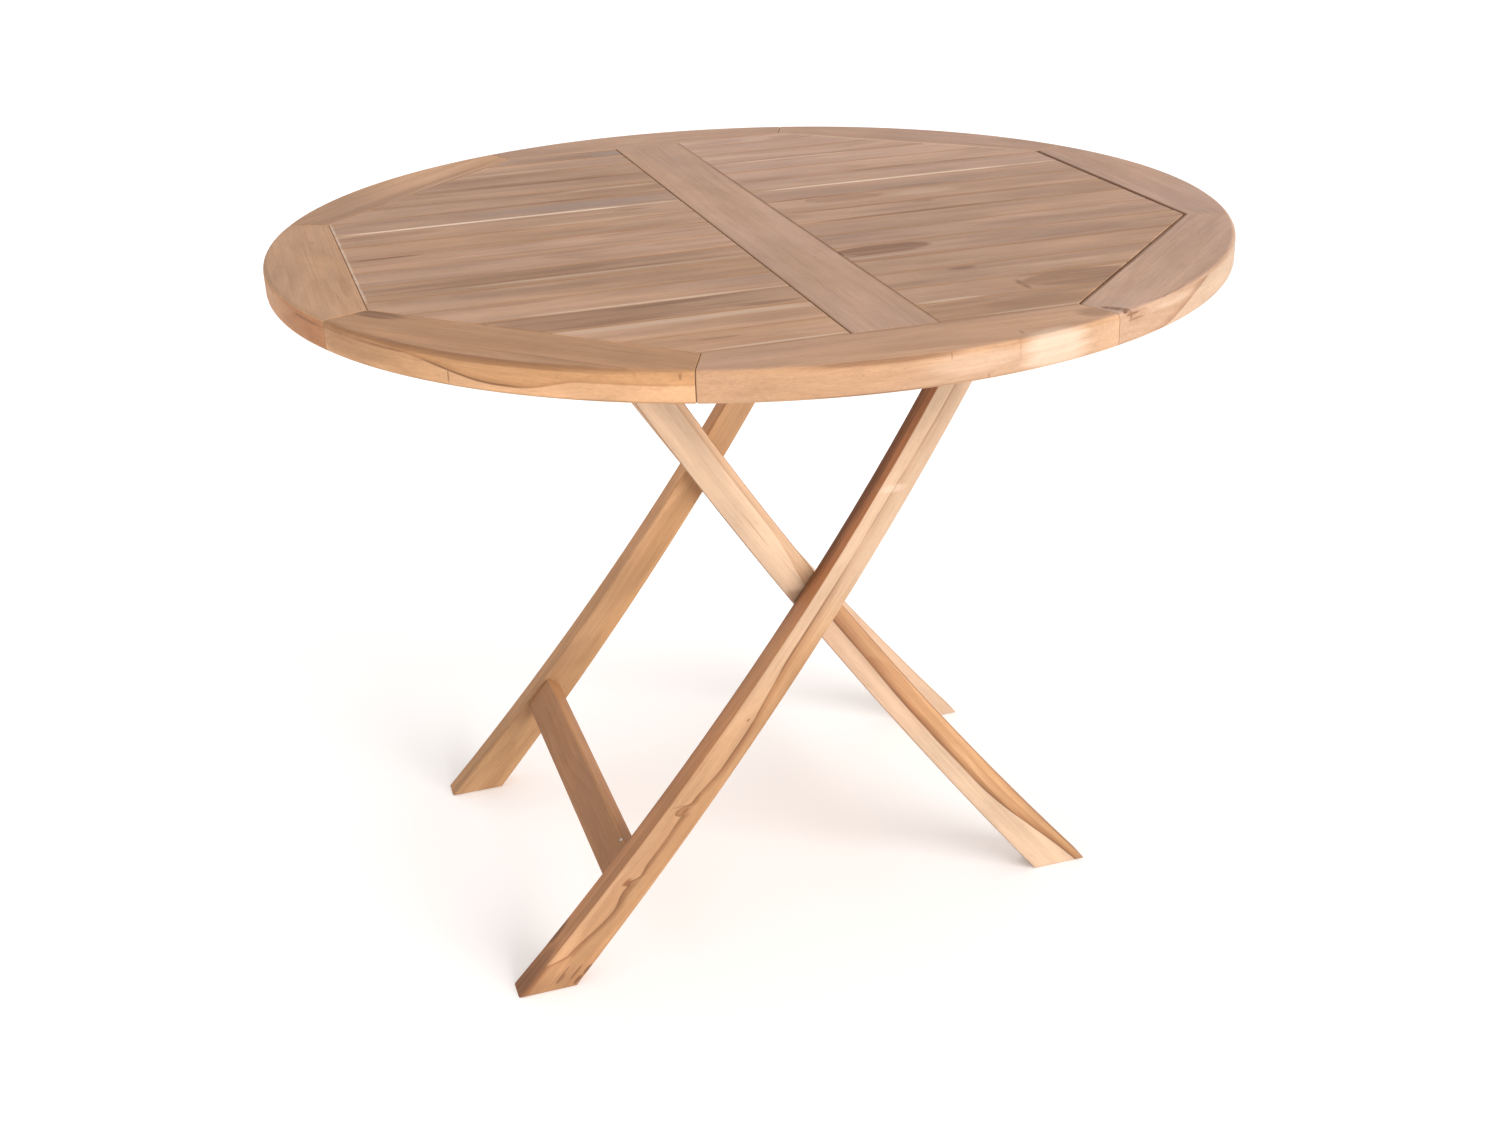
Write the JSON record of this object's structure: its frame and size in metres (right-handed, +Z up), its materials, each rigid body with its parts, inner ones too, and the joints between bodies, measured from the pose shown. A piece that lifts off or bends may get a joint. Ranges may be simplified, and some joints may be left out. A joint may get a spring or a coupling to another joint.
{
  "type": "folding table",
  "caption": "Round slatted folding garden table on two crossed curved leg frames; the top tilts up as the frames close together.",
  "frame": {"origin": "on the floor under the centre of the round top", "axes": "+Z up; +X along the slats, towards the side where the outer legs meet the top; +Y along the centre rail, away from the front"},
  "size_m": [1, 1, 0.75],
  "materials": {
    "teak_top": "bare sanded hardwood, matte",
    "teak_rim": "bare sanded hardwood, matte",
    "teak_leg": "bare sanded hardwood, matte",
    "steel": "plain steel, satin"
  },
  "bodies": {
    "outer_frame": {"cross_insert_front": "steel", "cross_insert_rear": "steel", "outer_leg_front": "teak_leg", "outer_leg_rear": "teak_leg", "outer_stretcher": "teak_leg"},
    "inner_frame": {"cross_bolt_front": "steel", "cross_bolt_rear": "steel", "inner_leg_front": "teak_leg", "inner_leg_rear": "teak_leg", "inner_stretcher": "teak_leg", "inner_top_rail": "teak_leg"},
    "top": {"batten_front": "teak_leg", "batten_rear": "teak_leg", "catch_cleat_front": "teak_leg", "catch_cleat_rear": "teak_leg", "centre_rail": "teak_top", "rim_1": "teak_rim", "rim_2": "teak_rim", "rim_3": "teak_rim", "rim_4": "teak_rim", "rim_5": "teak_rim", "rim_6": "teak_rim", "rim_7": "teak_rim", "rim_8": "teak_rim", "slat_left_01": "teak_top", "slat_left_02": "teak_top", "slat_left_03": "teak_top", "slat_left_04": "teak_top", "slat_left_05": "teak_top", "slat_left_06": "teak_top", "slat_left_07": "teak_top", "slat_left_08": "teak_top", "slat_left_09": "teak_top", "slat_left_10": "teak_top", "slat_left_11": "teak_top", "slat_left_12": "teak_top", "slat_left_13": "teak_top", "slat_left_14": "teak_top", "slat_left_15": "teak_top", "slat_left_16": "teak_top", "slat_right_01": "teak_top", "slat_right_02": "teak_top", "slat_right_03": "teak_top", "slat_right_04": "teak_top", "slat_right_05": "teak_top", "slat_right_06": "teak_top", "slat_right_07": "teak_top", "slat_right_08": "teak_top", "slat_right_09": "teak_top", "slat_right_10": "teak_top", "slat_right_11": "teak_top", "slat_right_12": "teak_top", "slat_right_13": "teak_top", "slat_right_14": "teak_top", "slat_right_15": "teak_top", "slat_right_16": "teak_top", "tilt_bolt_front": "steel", "tilt_bolt_rear": "steel", "tilt_nut_front": "steel", "tilt_nut_rear": "steel"}
  },
  "joints": [
    {"name": "top_tilt", "type": "hinge", "parent": "outer_frame", "child": "top", "pos_m": [0.17719, 0, 0.688], "axis": [0, 1, 0], "range_deg": [0, 118]},
    {"name": "leg_fold", "type": "hinge", "parent": "outer_frame", "child": "inner_frame", "pos_m": [-0.00528, 0, 0.3969], "axis": [0, 1, 0], "range_deg": [0, 65]}
  ],
  "couplings": [
    {"joint": "leg_fold", "follows": "top_tilt", "ratio": 0.55}
  ]
}
